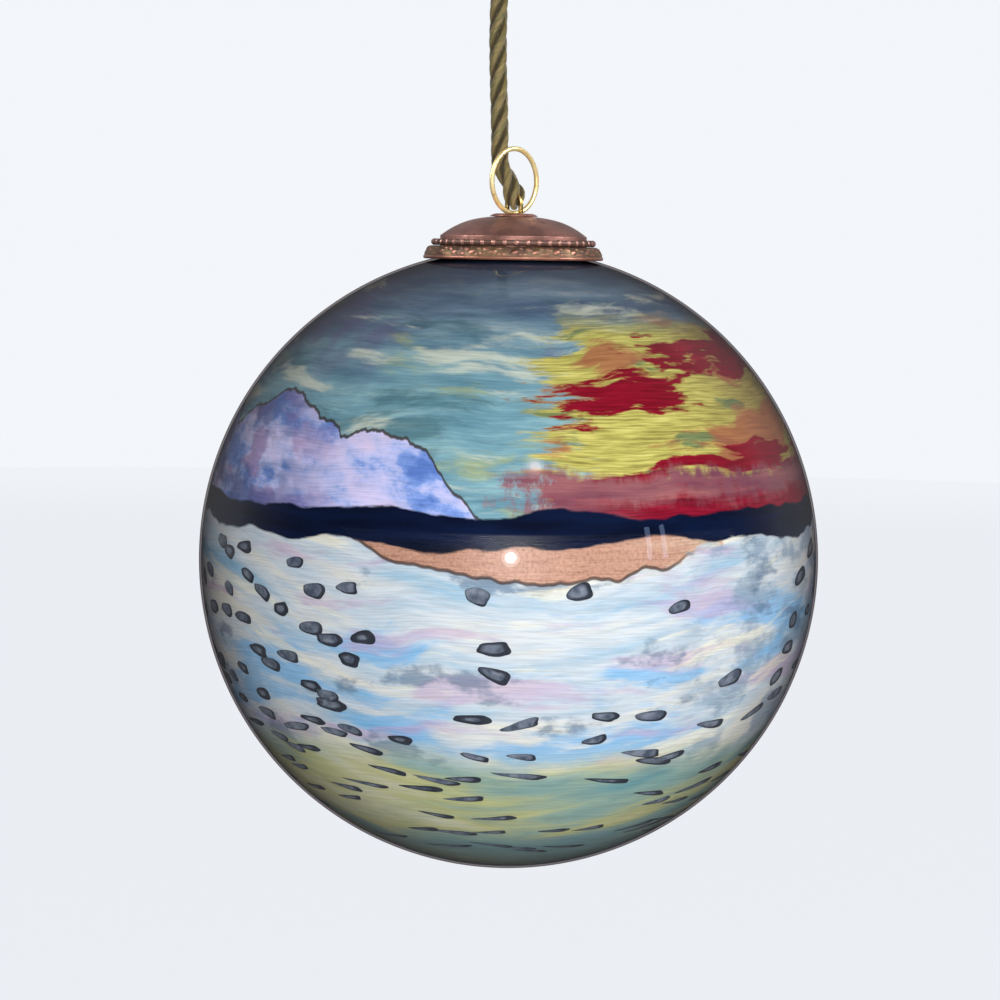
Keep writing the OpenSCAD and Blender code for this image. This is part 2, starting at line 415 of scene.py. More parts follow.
class Picture(Graph):
    """A generic landscape painted on the inside of the ball: a cool sky that turns warm to the right,
    a snowy range, a dark shore with a sandy bank, and pale water. Every outline comes from noise or
    a simple wave. A point is given by its bearing from the front, which grows to the right, and its
    height above the ball's equator, both in degrees."""

    def __init__(self):
        super().__init__("picture_paint")
        from_middle = self.vector_math("SUBTRACT", self.place(), tuple(BALL_C))
        self.ray = self.vector_math("NORMALIZE", from_middle)
        self.x, self.y, self.z = self.split(self.ray)
        degrees = 180 / math.pi
        self.east = self.math("ARCTAN2", self.x, 0 - self.y) * degrees
        self.north = self.math("ARCSINE", self.z) * degrees
        self.sway = self.noise(self.ray, 2.3, 2) - 0.5
        self.strokes = self.brushed(8, 0.07)
        self.bristles = self.noise(self.brushed(26, 0.05), 8, 3, 0.6)
        self.tatter = self.noise(self.brushed(5, 0.12), 9, 5, 0.72) - 0.5
        self.wander = self.noise(self.strokes, 2.6, 6, 0.65) - 0.5
        bowed = self.z - self.x * self.x * 0.30 + self.sway * 0.10
        self.water = self.vector(self.x, self.y, bowed * 8)
        self.bank = None

    def brushed(self, squeeze, bend):
        """Coordinates that draw noise out into level brush strokes which wander a little."""
        return self.vector(self.x, self.y, (self.z + self.sway * bend) * squeeze)

    def streaks(self, squeeze, scale, seed):
        """Broad level streaks of paint with ragged ends, 0 to 1."""
        here = self.vector(self.x + seed, self.y - seed, (self.z + self.sway * 0.16) * squeeze)
        return self.noise(here, scale, 5, 0.55) + self.tatter * 0.15

    def by_bearing(self, scale, seed, detail=3):
        """Noise that changes with the bearing alone, about -0.5 to 0.5."""
        level = self.math("SQRT", self.x * self.x + self.y * self.y + 1e-6)
        return self.noise(self.vector(self.x / level, self.y / level, seed), scale, detail, 0.55) - 0.5

    def warm_end(self, ragged):
        """1 over the warm sky, and 0 beyond its end at the back."""
        return self.step(self.east + self.wander * ragged, 150, 128)

    def lay(self, under, pattern, low, high, share, colour):
        """Paints a colour where a pattern rises from low to high, as strongly as share."""
        return self.mix(self.step(pattern, low, high) * share, under, colour)

    def sky(self):
        flow = self.noise(self.strokes, 1.7, 7, 0.62)
        low_tones = self.ramp(flow, (0.30, 66, 104, 122), (0.42, 98, 142, 158),
                              (0.54, 126, 168, 180), (0.66, 158, 194, 196),
                              (0.78, 206, 214, 192))
        high_tones = self.ramp(flow, (0.30, 54, 74, 108), (0.44, 82, 104, 130),
                               (0.56, 108, 132, 152), (0.68, 150, 162, 170),
                               (0.80, 196, 196, 180))
        colour = self.mix(self.step(self.north, 34, 60), low_tones, high_tones)
        high = self.step(self.north, 30, 48)
        colour = self.lay(colour, self.noise(self.ray, 3.1, 3), 0.52, 0.66, high * 0.6, rgb(96, 86, 130))
        colour = self.lay(colour, self.streaks(3.5, 2.1, 4.0), 0.56, 0.68, 0.65, rgb(172, 178, 108))
        colour = self.lay(colour, self.streaks(4.5, 2.4, 9.0), 0.54, 0.66, 0.6, rgb(58, 98, 108))
        colour = self.lay(colour, self.streaks(6.5, 2.0, 15.0), 0.55, 0.66, 0.75, rgb(216, 220, 200))
        # The darker navy band just under the cap is partly the sky's own colour and partly painted shade
        # under the cap.
        return self.lay(colour, self.north + self.sway * 8, 60, 69, 0.6, rgb(46, 66, 96))

    def sunset(self, under):
        """Yellow field on the right with red, salmon and green streaks, over a pink glow."""
        left = self.step(self.east + self.wander * 70 + self.tatter * 16, 5, 13)
        field = left * self.warm_end(30) * self.step(self.north + self.wander * 14, 56, 48)
        yellow = self.ramp(self.bristles, (0.30, 146, 138, 70), (0.50, 184, 176, 92),
                           (0.70, 212, 204, 120))
        yellow = self.lay(yellow, self.east, 34, 66, 0.5, rgb(150, 122, 66))
        colour = self.mix(field, under, yellow)
        colour = self.lay(colour, self.streaks(5, 3.2, 21.0), 0.57, 0.64, field * 0.7, rgb(70, 108, 84))
        colour = self.lay(colour, self.streaks(4, 1.8, 27.0), 0.53, 0.60, field * 0.8, rgb(166, 92, 70))
        crimson = self.ramp(self.bristles, (0.3, 118, 8, 30), (0.7, 148, 20, 44))
        colour = self.lay(colour, self.streaks(6.5, 1.35, 6.0), 0.545, 0.58, field, crimson)
        return self.lower_glow(colour)

    def lower_glow(self, under):
        """Pink light along the far shore that deepens to crimson, with a ragged upper edge."""
        tufts = self.noise(self.vector(self.x * 13, self.y * 13, self.z * 5), 1.5, 4, 0.7) - 0.5
        level = self.north + tufts * 7 + self.sway * 9
        left = self.step(self.east + tufts * 34 + self.wander * 24, -3, 6)
        body = self.step(level, 23, 20) * left * self.warm_end(20)
        pink = self.ramp(self.noise(self.strokes, 4, 4), (0.3, 118, 66, 84), (0.7, 158, 100, 102))
        colour = self.mix(body, under, pink)
        right = self.step(self.east + self.wander * 40, 6, 24)
        crimson = self.ramp(self.bristles, (0.3, 112, 8, 32), (0.7, 150, 24, 50))
        return self.lay(colour, level + self.wander * 8, 19, 15, body * right, crimson)

    def mountain(self, under):
        """Ranges on the left and at the back, with plain peaks and a thin drawn ridge line."""
        front = self.step(self.east, -142, -98) * self.step(self.east, 10, -34)
        back = self.step(abs(self.east), 118, 150)
        peaks = abs(self.math("FRACT", self.east / 40 + 0.35) - 0.5) * 2
        tops = (front * 26 + back * 18) * (0.76 + peaks * 0.32)
        above = self.north - (7 + tops + self.by_bearing(8, 3.0, 4) * 8)
        mass = self.vector(self.x + self.z * 0.5, self.y, self.z * 1.5)
        snow = self.ramp(self.noise(mass, 5.2, 5, 0.62), (0.34, 92, 124, 196),
                         (0.44, 126, 156, 220), (0.50, 178, 188, 234),
                         (0.58, 206, 202, 240), (0.68, 220, 206, 238))
        rose = self.step(self.x, -0.35, -0.8) * 0.75
        snow = self.lay(snow, self.noise(mass, 6.5, 3), 0.48, 0.60, rose, rgb(158, 128, 176))
        shade = self.step(self.x, -0.45, -0.85) * 0.85
        snow = self.lay(snow, self.noise(mass, 4.4, 4), 0.42, 0.54, shade, rgb(66, 86, 146))
        colour = self.lay(under, above, 0.3, -0.3, 1, snow)
        line = self.step(self.north, 8, 12) * 0.9
        return self.lay(colour, abs(above), 0.48, 0.18, line, rgb(62, 56, 50))

    def lake(self, under):
        """Ice and water from the far shore down to the ball's foot."""
        colour = self.ramp(self.noise(self.water, 1.3, 8, 0.62), (0.30, 140, 184, 210),
                           (0.42, 178, 198, 212), (0.52, 203, 211, 217), (0.66, 222, 219, 206))
        near = self.step(self.north, 4, -4) * 0.7
        colour = self.lay(colour, self.streaks(4, 1.9, 33.0), 0.50, 0.62, near, rgb(104, 176, 226))
        colour = self.lay(colour, self.streaks(6, 1.7, 38.0), 0.54, 0.64, 0.5, rgb(190, 156, 192))
        smudges = self.noise(self.vector(self.x, self.y, self.z * 1.6), 5.2, 5, 0.62)
        right = self.step(self.east + self.sway * 20, 26, 42) * self.step(self.east, 150, 120) * 0.7
        colour = self.lay(colour, smudges, 0.46, 0.60, right, rgb(126, 150, 172))
        dark = self.noise(self.vector(self.x + 5, self.y, self.z * 2), 3.4, 5, 0.6)
        colour = self.lay(colour, dark, 0.57, 0.66, 0.65, rgb(84, 112, 140))
        cream = self.noise(self.water, 1.9, 6, 0.6)
        colour = self.lay(colour, cream, 0.55, 0.64, 0.5, rgb(240, 234, 208))
        greens = self.ramp(self.noise(self.water, 1.4, 5), (0.32, 104, 150, 150),
                           (0.45, 140, 168, 150), (0.56, 190, 190, 122), (0.70, 206, 206, 176))
        colour = self.lay(colour, self.north + self.sway * 12, -27, -35, 0.9, greens)
        colour = self.lay(colour, self.north, -50, -66, 0.4, rgb(146, 154, 134))
        return self.lay(under, self.north, 10.4, 9.6, 1, colour)

    def sandy_bank(self, under):
        """Long low bank under the far shore, with a thin dark edge on its water side."""
        centre, reach, depth = 6, 34, 6.8
        along = (self.east - centre) / reach
        foot = 9.5 - (1 - along * along) * depth + self.by_bearing(7, 8.0, 2) * 5
        within = self.north - foot
        shore = self.step(self.north, 11, 10.5)
        self.bank = self.step(within + self.tatter * self.step(self.east, 20, 36) * 6, -0.15, 0.2) * shore
        sand = self.ramp(self.noise(self.ray, 120, 2), (0.3, 172, 122, 98), (0.6, 198, 150, 126))
        right = self.step(self.east + self.sway * 24, 18, 40) * 0.85
        sand = self.lay(sand, self.noise(self.strokes, 3, 4), 0.40, 0.60, right, rgb(226, 204, 176))
        colour = self.mix(self.bank * 0.97, under, sand)
        line = shore * self.step(self.east, 36, 28) * 0.85
        return self.lay(colour, abs(within), 0.46, 0.16, line, rgb(66, 42, 34))

    def far_shore(self, under):
        """Glossy dark line of trees between the water and the mountains."""
        centre = 11.6 + self.by_bearing(1.7, 5.0) * 9
        half = self.math("MAXIMUM", 2.5 + self.by_bearing(2.6, 12.0) * 6, 1.1)
        away = abs(self.north - centre) - half + self.tatter * 1.2
        navy = self.ramp(self.noise(self.strokes, 3, 3), (0.35, 2, 10, 34), (0.75, 8, 26, 62))
        return self.lay(under, away, 0.25, -0.25, 1, navy)

    def finished(self):
        colour = self.mountain(self.sunset(self.sky()))
        colour = self.far_shore(self.sandy_bank(self.lake(colour)))
        hairs = self.step(self.bristles, 0.34, 0.64)
        tone = self.ramp(hairs, (0, 120, 120, 126), (1, 255, 255, 255))
        colour = self.mix(0.22, colour, tone, "MULTIPLY")
        glitter = self.bump(self.noise(self.ray, 260, 1), self.bank * 0.5, 0.05 * MM)
        return self.surface(Base_Color=colour, Roughness=0.62 - self.bank * 0.36 + hairs * 0.1,
                            Specular_IOR_Level=0.08 + self.bank * 0.5, Normal=glitter)


# ---- other finishes

def clear_glass():
    """Clear glass: a thin mirror over what lies behind, greyer where it is seen edge on, partly as the
    glass's own edge tint and partly as painted shade along the ball's outline.
    """
    g = Graph("clear_glass")
    slant = Number(g, g.node("ShaderNodeLayerWeight").outputs["Facing"])
    wipe = g.noise(g.place(), 6 / BALL_R, 2)
    # Painted shade in part: the see-through colour darkens towards the ball's outline.
    edge_tint_and_shade = g.ramp(slant + (wipe - 0.5) * 0.02, (0.52, 255, 255, 255), (0.74, 230, 228, 228),
                  (0.88, 186, 181, 182), (0.96, 150, 144, 146), (1.0, 132, 125, 127))
    clear = g.fed(g.node("ShaderNodeBsdfTransparent"), Color=edge_tint_and_shade)
    shine = g.fed(g.node("ShaderNodeBsdfAnisotropic"), Color=(1, 1, 1, 1), Roughness=0.02 + wipe * 0.015)
    fresnel = g.fed(g.node("ShaderNodeFresnel"), IOR=1.45)
    back = Number(g, g.node("ShaderNodeNewGeometry").outputs["Backfacing"])
    return g.finish(g.either(g.math("MINIMUM", fresnel, 0.09) * (1 - back), clear, shine))


def mark_paint():
    """Slate brush marks, darker round their edges where the paint has run."""
    g = Graph("mark_paint")
    cloud = g.noise(g.place(), 900, 3)
    colour = g.ramp(cloud, (0.35, 66, 76, 92), (0.65, 122, 130, 144))
    rim = g.step(g.attribute("edge") + (cloud - 0.5) * 0.8, 0.55, 0.90)
    colour = g.mix(rim * 0.9, colour, rgb(24, 28, 40))
    return g.surface(Base_Color=colour, Roughness=0.55, Specular_IOR_Level=0.2)


def copper(name, light, dark, patina, metallic=0.65):
    """Antiqued copper sheet: brushed tone, dark stains, fine pits."""
    g = Graph(name)
    here = g.place()
    pits = g.noise(here, 2600, 3, 0.6)
    colour = g.ramp(g.noise(here, 260, 5, 0.6), (0.34, *dark), (0.62, *light))
    stain = g.step(g.noise(here, 520, 4, 0.65), 0.55, 0.7)
    colour = g.mix(stain * 0.55, colour, rgb(*patina))
    return g.surface(Base_Color=colour, Metallic=metallic, Roughness=0.36 + stain * 0.2 + pits * 0.12,
                     Normal=g.bump(pits, 0.25, 0.03 * MM))


def relief_copper():
    """Stamped band: olive patina in its hollows, rubbed copper on its high spots and its rim."""
    g = Graph("relief_copper")
    here = g.place()
    cloud = g.noise(here, 420, 4, 0.6)
    olive = g.ramp(cloud, (0.35, 80, 58, 45), (0.62, 118, 93, 67))
    rubbed = g.ramp(cloud, (0.35, 140, 91, 75), (0.65, 172, 119, 97))
    worn = g.step(g.attribute("relief") + (cloud - 0.5) * 0.35, 0.35, 0.75)
    return g.surface(Base_Color=g.mix(worn, olive, rubbed), Metallic=0.6, Roughness=0.5 - worn * 0.12,
                     Normal=g.bump(g.noise(here, 3000, 3), 0.3, 0.02 * MM))


def bead_copper():
    """Rubbed beads with a painted highlight on their outer, upper side and painted shade where they meet
    each other and the groove.
    """
    g = Graph("bead_copper")
    cloud = g.noise(g.place(), 700, 3)
    # worn mixes rubbing with painted light: brightest on each bead's lit side, darkest between the beads
    # and on the carrier.
    worn = g.step(g.attribute("crown") + (cloud - 0.5) * 0.4, 0.35, 0.8)
    colour = g.mix(worn, rgb(104, 76, 66), rgb(172, 124, 112))
    return g.surface(Base_Color=colour, Metallic=0.55, Roughness=0.5 - worn * 0.15)


def drawn_wire(name, light, dark, metallic):
    """Polished wire with faint drawing lines."""
    g = Graph(name)
    here = g.place()
    lines = g.noise(here, 6000, 2)
    colour = g.ramp(g.noise(here, 500, 3), (0.3, *dark), (0.7, *light))
    return g.surface(Base_Color=colour, Metallic=metallic, Roughness=0.3 + lines * 0.08,
                     Normal=g.bump(lines, 0.12, 0.01 * MM))


def satin_cord():
    """Fibres lie along each ply, with painted shade in the grooves between the plies. The fibre attribute
    holds a turning direction and the length.
    """
    g = Graph("satin_cord")
    fibre = g.node("ShaderNodeAttribute", attribute_name="fibre").outputs["Vector"]
    fine = g.noise(fibre, 7.0, 5, 0.7)
    colour = g.ramp(fine, (0.30, 84, 75, 50), (0.45, 120, 107, 76),
                    (0.57, 152, 137, 99), (0.74, 208, 192, 146))
    tone = g.ramp(g.noise(fibre, 1.6, 2), (0.36, 176, 192, 152), (0.64, 255, 240, 220))
    colour = g.mix(0.8, colour, tone, "MULTIPLY")
    # Painted shade: each ply is darkened towards the grooves, where depth is high.
    colour = g.mix(g.step(g.attribute("depth"), 0.14, 0.50) * 0.80, colour, rgb(46, 37, 20))
    return g.surface(Base_Color=colour, Roughness=0.5, Specular_IOR_Level=0.55, Sheen_Weight=0.25,
                     Sheen_Roughness=0.4, Normal=g.bump(fine, 0.5, 0.06 * MM))


# ---- the ball

def glass_ball(material):
    """One revolved shell: sphere, soft fillet, neck with a fire-polished lip, and the inside again."""
    c, inner = BALL_C.z, BALL_R - GLASS_DRAWN
    bore, lip, fillet = NECK_R - NECK_WALL, NECK_WALL / 2, 0.8 * MM
    foot = c + math.sqrt((BALL_R + fillet) ** 2 - (NECK_R + fillet) ** 2)
    meet = math.degrees(math.asin((foot - c) / (BALL_R + fillet)))
    inside_from = math.degrees(math.acos(bore / inner))
    profile = [(0, c - BALL_R)] + arc((0, c), BALL_R, -89, meet, 120)
    profile += arc((NECK_R + fillet, foot), fillet, 180 + meet, 180, 6)
    profile += arc((NECK_R - lip, LIP_TOP - lip), lip, 0, 180, 10)
    profile += arc((0, c), inner, inside_from, -89, 100) + [(0, c - inner)]
    return make_piece("glass_shell", lathe(profile, 192), material, "ball", "glass_ball")


def painted_film(material):
    """The film of paint, open at the foot of the neck."""
    c, inner = BALL_C.z, FILM_R - FILM_T
    top = math.degrees(math.acos((NECK_R + 0.2 * MM) / FILM_R))
    profile = [(0, c - FILM_R)] + arc((0, c), FILM_R, -89, top, 120)
    profile += arc((0, c), inner, top, -89, 120) + [(0, c - inner)]
    return make_piece("painted_film", lathe(profile, 192), material, "ball",
                      "painted_lining")


def brush_mark(east, north, length, width, tilt, taper, dice):
    """One thin dab of paint at a bearing and a height in degrees: a blunt stroke, narrower at one end
    if taper is above 0, with more paint at its end than at its start."""
    e, n, t = math.radians(east), math.radians(north), math.radians(tilt)
    ray = Vector((math.sin(e) * math.cos(n), -math.cos(e) * math.cos(n), math.sin(n)))
    level = UP.cross(ray).normalized()
    along = level * math.cos(t) + ray.cross(level) * math.sin(t)
    across = ray.cross(along)
    lumps = [(dice.uniform(-0.06, 0.06), times, dice.uniform(0, TURN)) for times in (2, 3, 3, 5)]
    load = dice.uniform(-0.25, 0.35)
    rings, edge = [], []
    shares = (0.0, 0.25, 0.55, 0.82, 1.0)
    layers = [(MARK_T, share) for share in shares] + [(0.0, share) for share in reversed(shares)]
    for sunk, share in layers:
        ring = []
        for a in around(28 if share else 1):
            wobble = 1 + sum(size * math.sin(times * a + phase) for size, times, phase in lumps)
            u = math.copysign(abs(math.cos(a)) ** 0.75, math.cos(a)) * share * wobble
            v = math.copysign(abs(math.sin(a)) ** 0.85, math.sin(a)) * share * wobble
            v *= 1 - taper * 0.5 * (1 - u)
            spot = ray * MARK_R + along * u * length / 2 + across * v * width / 2
            ring.append(BALL_C + spot.normalized() * (MARK_R - sunk))
            edge.append(share + load + 0.2 * share * (u - v))
        rings.append(ring)
    return (*loft(rings), edge)


def pebble_marks(material):
    """Stones showing through the ice: rounder beside the shore, flatter dashes lower down."""
    dice = random.Random(7)
    marks, spots = [], []
    row_heights = (4.5, 1, -3, -7.5, -12, -16.5, -21, -25.5, -30, -34.5, -39, -44, -50, -57)
    most, room_across, room_down = 44, 6.0, 2.9
    for row, height in enumerate(row_heights):
        count = round(most * math.cos(math.radians(height)))
        for i in range(count):
            east = -180 + 360 * (i + 0.5 * (row % 2)) / count + dice.uniform(-4, 4)
            north = height + dice.uniform(-1.5, 1.5)
            crowded = any(((east - e) / room_across) ** 2 + ((north - n) / room_down) ** 2 < 1
                          for e, n in spots)
            on_bank = height > 2 and -30 < east < 48
            open_water = abs(east - 14) < 42 and height > -18
            chance = 0.10 if open_water else 0.8 if abs(east + 45) < 40 else 0.55
            if dice.random() > chance or crowded or on_bank:
                continue
            spots.append((east, north))
            flat = ease((height + 16) / -24)
            length = blend(3.4, 5.4, flat) * dice.uniform(0.7, 1.2) * MM
            width = blend(1.8, 1.1, flat) * dice.uniform(0.8, 1.2) * MM
            lean = dice.uniform(-14, 14) + (8 if east > 0 else -8) * (1 - flat)
            for n in range(2 if dice.random() < 0.12 else 1):
                beside = east + n * dice.uniform(3.0, 5.0)
                below = north - n * dice.uniform(1.2, 2.6)
                marks.append(brush_mark(beside, below, length, width, lean, 0.3 + 0.5 * flat, dice))
    return make_piece("pebble_marks", joined(marks), material, "ball",
                      attributes=["edge"])


# ---- the cap

def cap_dome(material):
    """Spun dome: a straight wall, a softly rounded edge and a crown that has a few dents."""
    drop = DOME_TOP - (BEAD_Z + BEAD_D / 2 + 0.35 * MM)
    corner, steps = 0.16 * MM, 56

    def crown(r):
        return DOME_TOP - drop * (r / DOME_R) ** 3

    radii = [blend(DOME_R - corner, EYELET_HOLE, i / steps) for i in range(steps + 1)]
    profile = [(DOME_R, DOME_FOOT)]
    profile += arc((DOME_R - corner, crown(DOME_R - corner) - corner), corner, 0, 80, 5)
    profile += [(r, crown(r)) for r in radii]
    profile += [(min(r, DOME_R - SHEET), crown(r) - SHEET) for r in reversed(radii)]
    profile += [(DOME_R - SHEET, DOME_FOOT)]

    def dented(angle, i):
        r, z = profile[i]
        where = Vector((r * math.cos(angle), r * math.sin(angle), 0)) / MM
        return r, z - abs(noise.noise(where * 0.35)) * 0.05 * MM * (r / DOME_R)

    return make_piece("dome_shell", lathe(profile, 192, dented), material, "cap",
                      "cap_dome", sharp=50)


# The sprig's leaves: middle across and down its repeat, half length, half width and tilt.
SPRIG = ((0.22, 0.40, 0.24, 0.15, 0.9), (0.56, 0.62, 0.25, 0.15, -0.7), (0.86, 0.34, 0.13, 0.11, 0.2),
         (0.42, 0.16, 0.10, 0.09, 0.0), (0.05, 0.78, 0.13, 0.10, 0.4), (0.82, 0.78, 0.10, 0.08, 0.0))
SPRIG_COUNT = 26


def relief_height(angle, v):
    """Height of the stamped sprig pattern, 0 to 1. v runs from the ledge (0) down to the rim (1)."""
    u = (angle / TURN * SPRIG_COUNT) % 1
    best = 0.0
    for centre_u, centre_v, half_u, half_v, tilt in SPRIG:
        c, s = math.cos(tilt), math.sin(tilt)
        for wrap in (-1, 0, 1):
            du, dv = u + wrap - centre_u, v - centre_v
            reach = 1 - ((du * c + dv * s) / half_u) ** 2 - ((dv * c - du * s) / half_v) ** 2
            best = max(best, math.sqrt(max(reach, 0.0)))
    wire = math.exp(-((v - 0.94) / 0.05) ** 2)
    wear = 0.75 + 0.5 * noise.noise(Vector((math.cos(angle) * 9, math.sin(angle) * 9, v * 3)))
    return max(best * wear, wire * 0.8)


def cap_skirt(material):
    """Flared band with stamped sprigs, over a rolled rim."""
    rows, inner_rows, sides, raised = 30, 8, 960, 0.10 * MM
    ledge_r = BEAD_RING_R + 0.32 * MM
    roll_z = RIM_Z + ROLL_R
    flare = RIM_R - 0.12 * MM - ledge_r
    fall = LEDGE_Z - roll_z
    quarter = math.pi / 2

    def curve(share, sheet):
        """Profile point from the ledge (0) to the roll (1), on the outside or a sheet further in."""
        a = quarter * share
        return ledge_r - sheet + flare * math.sin(a), roll_z + (fall - sheet) * math.cos(a)

    profile = [curve(i / rows, 0) for i in range(rows + 1)]
    profile += [curve(i / inner_rows, SHEET) for i in range(inner_rows, -1, -1)]
    profile += [(DOME_R + 0.02 * MM, LEDGE_Z - SHEET), (DOME_R + 0.02 * MM, LEDGE_Z)]

    def stamped(angle, i):
        r, z = profile[i]
        if i > rows:
            return r, z
        v = i / rows
        out = raised * (relief_height(angle, v) - 0.55) * math.sin(math.pi * min(1, v + 0.02))
        return r + out * (0.6 + 0.4 * math.sin(quarter * v)), z + out * math.cos(quarter * v) * 0.8

    heights = []
    for i in range(len(profile)):
        heights += [float(relief_height(a, i / rows)) if i <= rows else 0.2 for a in around(sides)]
    band = (*lathe(profile, sides, stamped), heights)
    verts, faces = tube(circle(RIM_R - ROLL_R, roll_z, 240), [ROLL_R] * 240, 16, closed=True)
    roll = (verts, faces, [0.85] * len(verts))
    return make_piece("relief_skirt", joined([band, roll]), material, "cap", "cap_skirt",
                      ["relief"])


def beaded_band(material):
    """Beads pressed on a carrier wire, no two quite alike."""
    dice = random.Random(11)
    verts, faces = tube(circle(BEAD_RING_R, BEAD_Z, 180), [BEAD_D * 0.40] * 180, 12, closed=True)
    parts = [(verts, faces, [0.0] * len(verts))]
    bead, faces = lathe(arc((0, 0), 1, -90, 90, 10), 18)
    # crown is a painted highlight: high on each bead's outer, upper side that faces the light, 0 on the
    # carrier, which is painted in shade.
    lit_side = Vector((1, 0, 0.35)).normalized()
    crown = [max(0.0, v.dot(lit_side)) for v in bead]
    for a in around(BEAD_COUNT):
        turn = Matrix.Rotation(a, 3, "Z")
        centre = turn @ Vector((BEAD_RING_R, 0, BEAD_Z))
        size = BEAD_D / 2 * dice.uniform(0.93, 1.0)
        parts.append(([centre + turn @ v * size for v in bead], faces, crown))
    return make_piece("bead_row", joined(parts), material, "cap", "beaded_wire", ["crown"])


def neck_ferrule(material):
    """Drawn cup with a rounded shoulder that sits over the neck."""
    outer, top = half_width("neck_ferrule"), highest("neck_ferrule")
    bottom = lowest("neck_ferrule")
    corner = 0.3 * MM
    profile = [(outer - SHEET, bottom), (outer, bottom)]
    profile += arc((outer - corner, top - corner), corner, 0, 90, 6)
    profile += [(EYELET_HOLE, top), (EYELET_HOLE, top - SHEET), (outer - SHEET, top - SHEET)]
    return make_piece("neck_cup", lathe(profile, 128), material, "cap", "neck_ferrule",
                      sharp=35)


def eyelet(material):
    """Hollow rivet with a thin-edged domed flange above and a clinched edge below."""
    shank, edge, lip, clinch = EYELET_BORE + 0.35 * MM, 0.05 * MM, 0.12 * MM, 0.25 * MM
    rise = EYELET_TOP - DOME_TOP - 2 * edge
    run = EYELET_R - edge - EYELET_BORE - lip
    profile = arc((EYELET_R - edge, DOME_TOP + edge), edge, -90, 60, 6)
    for t in (0.1, 0.25, 0.4, 0.55, 0.7, 0.85):
        level = DOME_TOP + 2 * edge + rise * math.sin(math.pi / 2 * t)
        profile.append((EYELET_R - edge - run * t, level))
    profile += arc((EYELET_BORE + lip, EYELET_TOP - lip), lip, 90, 180, 5)
    profile += [(EYELET_BORE, EYELET_BOTTOM)]
    profile += arc((shank + 0.3 * MM - clinch / 2, EYELET_BOTTOM + clinch / 2), clinch / 2, -90, 90, 6)
    profile += [(shank, EYELET_BOTTOM + clinch), (shank, DOME_TOP)]
    return make_piece("hollow_rivet", lathe(profile, 96), material, "cap", "eyelet",
                      sharp=40)


def wire_hanger(material):
    """One spring wire: an eye above the cap and two bowed legs inside the neck."""
    eye = 1.15 * MM
    foot = NECK_R - NECK_WALL - 0.05 * MM - WIRE_R
    waist = EYELET_BOTTOM - 0.54 * MM

    def leg(side):
        ways = [(eye, CROWN_Z - eye), (eye, waist),
                (blend(eye, foot, 0.75), blend(waist, HANGER_FOOT, 0.3)),
                (foot, blend(waist, HANGER_FOOT, 0.55)),
                (blend(eye, foot, 0.85), HANGER_FOOT + 0.1 * MM)]
        return round_corners([EYE_DIR * side * r + UP * z for r, z in ways])

    bow = [EYE_DIR * r + UP * z for r, z in arc((0, CROWN_Z - eye), eye, 7.5, 172.5, 22)]
    path = resample(list(reversed(leg(1))) + bow + leg(-1), 0.22 * MM)
    return make_piece("spring_wire", tube(path, [WIRE_R] * len(path), 16), material, "hanger",
                      "wire_hanger", sharp=50)


def jump_ring(material):
    """Open wire ring whose two cut ends meet at a fine seam."""
    seam, gap, steps = math.radians(205), 0.014, 160
    angles = [seam + gap + (TURN - 2 * gap) * k / steps for k in range(steps + 1)]
    path = [RING_C + RING_R * (RING_DIR * math.cos(a) + UP * math.sin(a)) for a in angles]
    return make_piece("gold_ring", tube(path, [WIRE_R] * len(path), 24), material, "ring",
                      "jump_ring", sharp=50)


# ---- cord

# The cord passes through the eye part way between square to it and straight to the front.
BIGHT_ANGLE = (math.atan2(RING_DIR.y, RING_DIR.x) + math.pi / 2) / 2
# In mm: the bend's radius under the eye, the height of the legs, and each leg's place at their top.
BIGHT_R = 1.10
LEG_TOP = 55.0
LEG_SPREAD = 3 + CORD_D / MM / 2
# Each ply's distance from the cord's middle, and its radius, as shares of the cord's radius.
PLY_OUT = 0.536
PLY_R = 0.478


def laid_cord(path, radii, lead, closed=False, phase=0.0, splay=0.0):
    """Three plies laid right-handed round a path. Its values per vertex are fibre, which turns with
    the ply and runs along it, and depth, which is 1 in the grooves. splay opens the plies apart at
    the far end, as in a cut end."""
    along, normals = carried_normals(path, closed)
    n, sides = len(path), 16
    step = (path[1] - path[0]).length
    turns = n * step / lead
    if closed:
        turns = round(turns)
    plies = []
    for ply in range(3):
        centres, outs, ply_radii, fibre = [], [], [], []
        for i in range(n):
            a = phase + TURN * (turns * i / n + ply / 3)
            out = math.cos(a) * normals[i] + math.sin(a) * along[i].cross(normals[i])
            opening = 1 + splay * ease((i / n - 0.72) / 0.28)
            lump = 1 + 0.03 * noise.noise(Vector((i * step / MM * 0.9, ply * 7.0, phase)))
            centres.append(path[i] + out * radii[i] * PLY_OUT * opening)
            outs.append(out)
            ply_radii.append(radii[i] * PLY_R * lump)
            for b in around(sides):
                spin = b - TURN * turns * i / n
                fibre.append((math.cos(spin), math.sin(spin), i * step / MM * 0.16 + ply * 5.0))
        depth = [0.5 - 0.5 * math.cos(b) for b in around(sides)] * n
        plies.append((*tube(centres, ply_radii, sides, closed, outs), fibre, depth))
    return joined(plies)


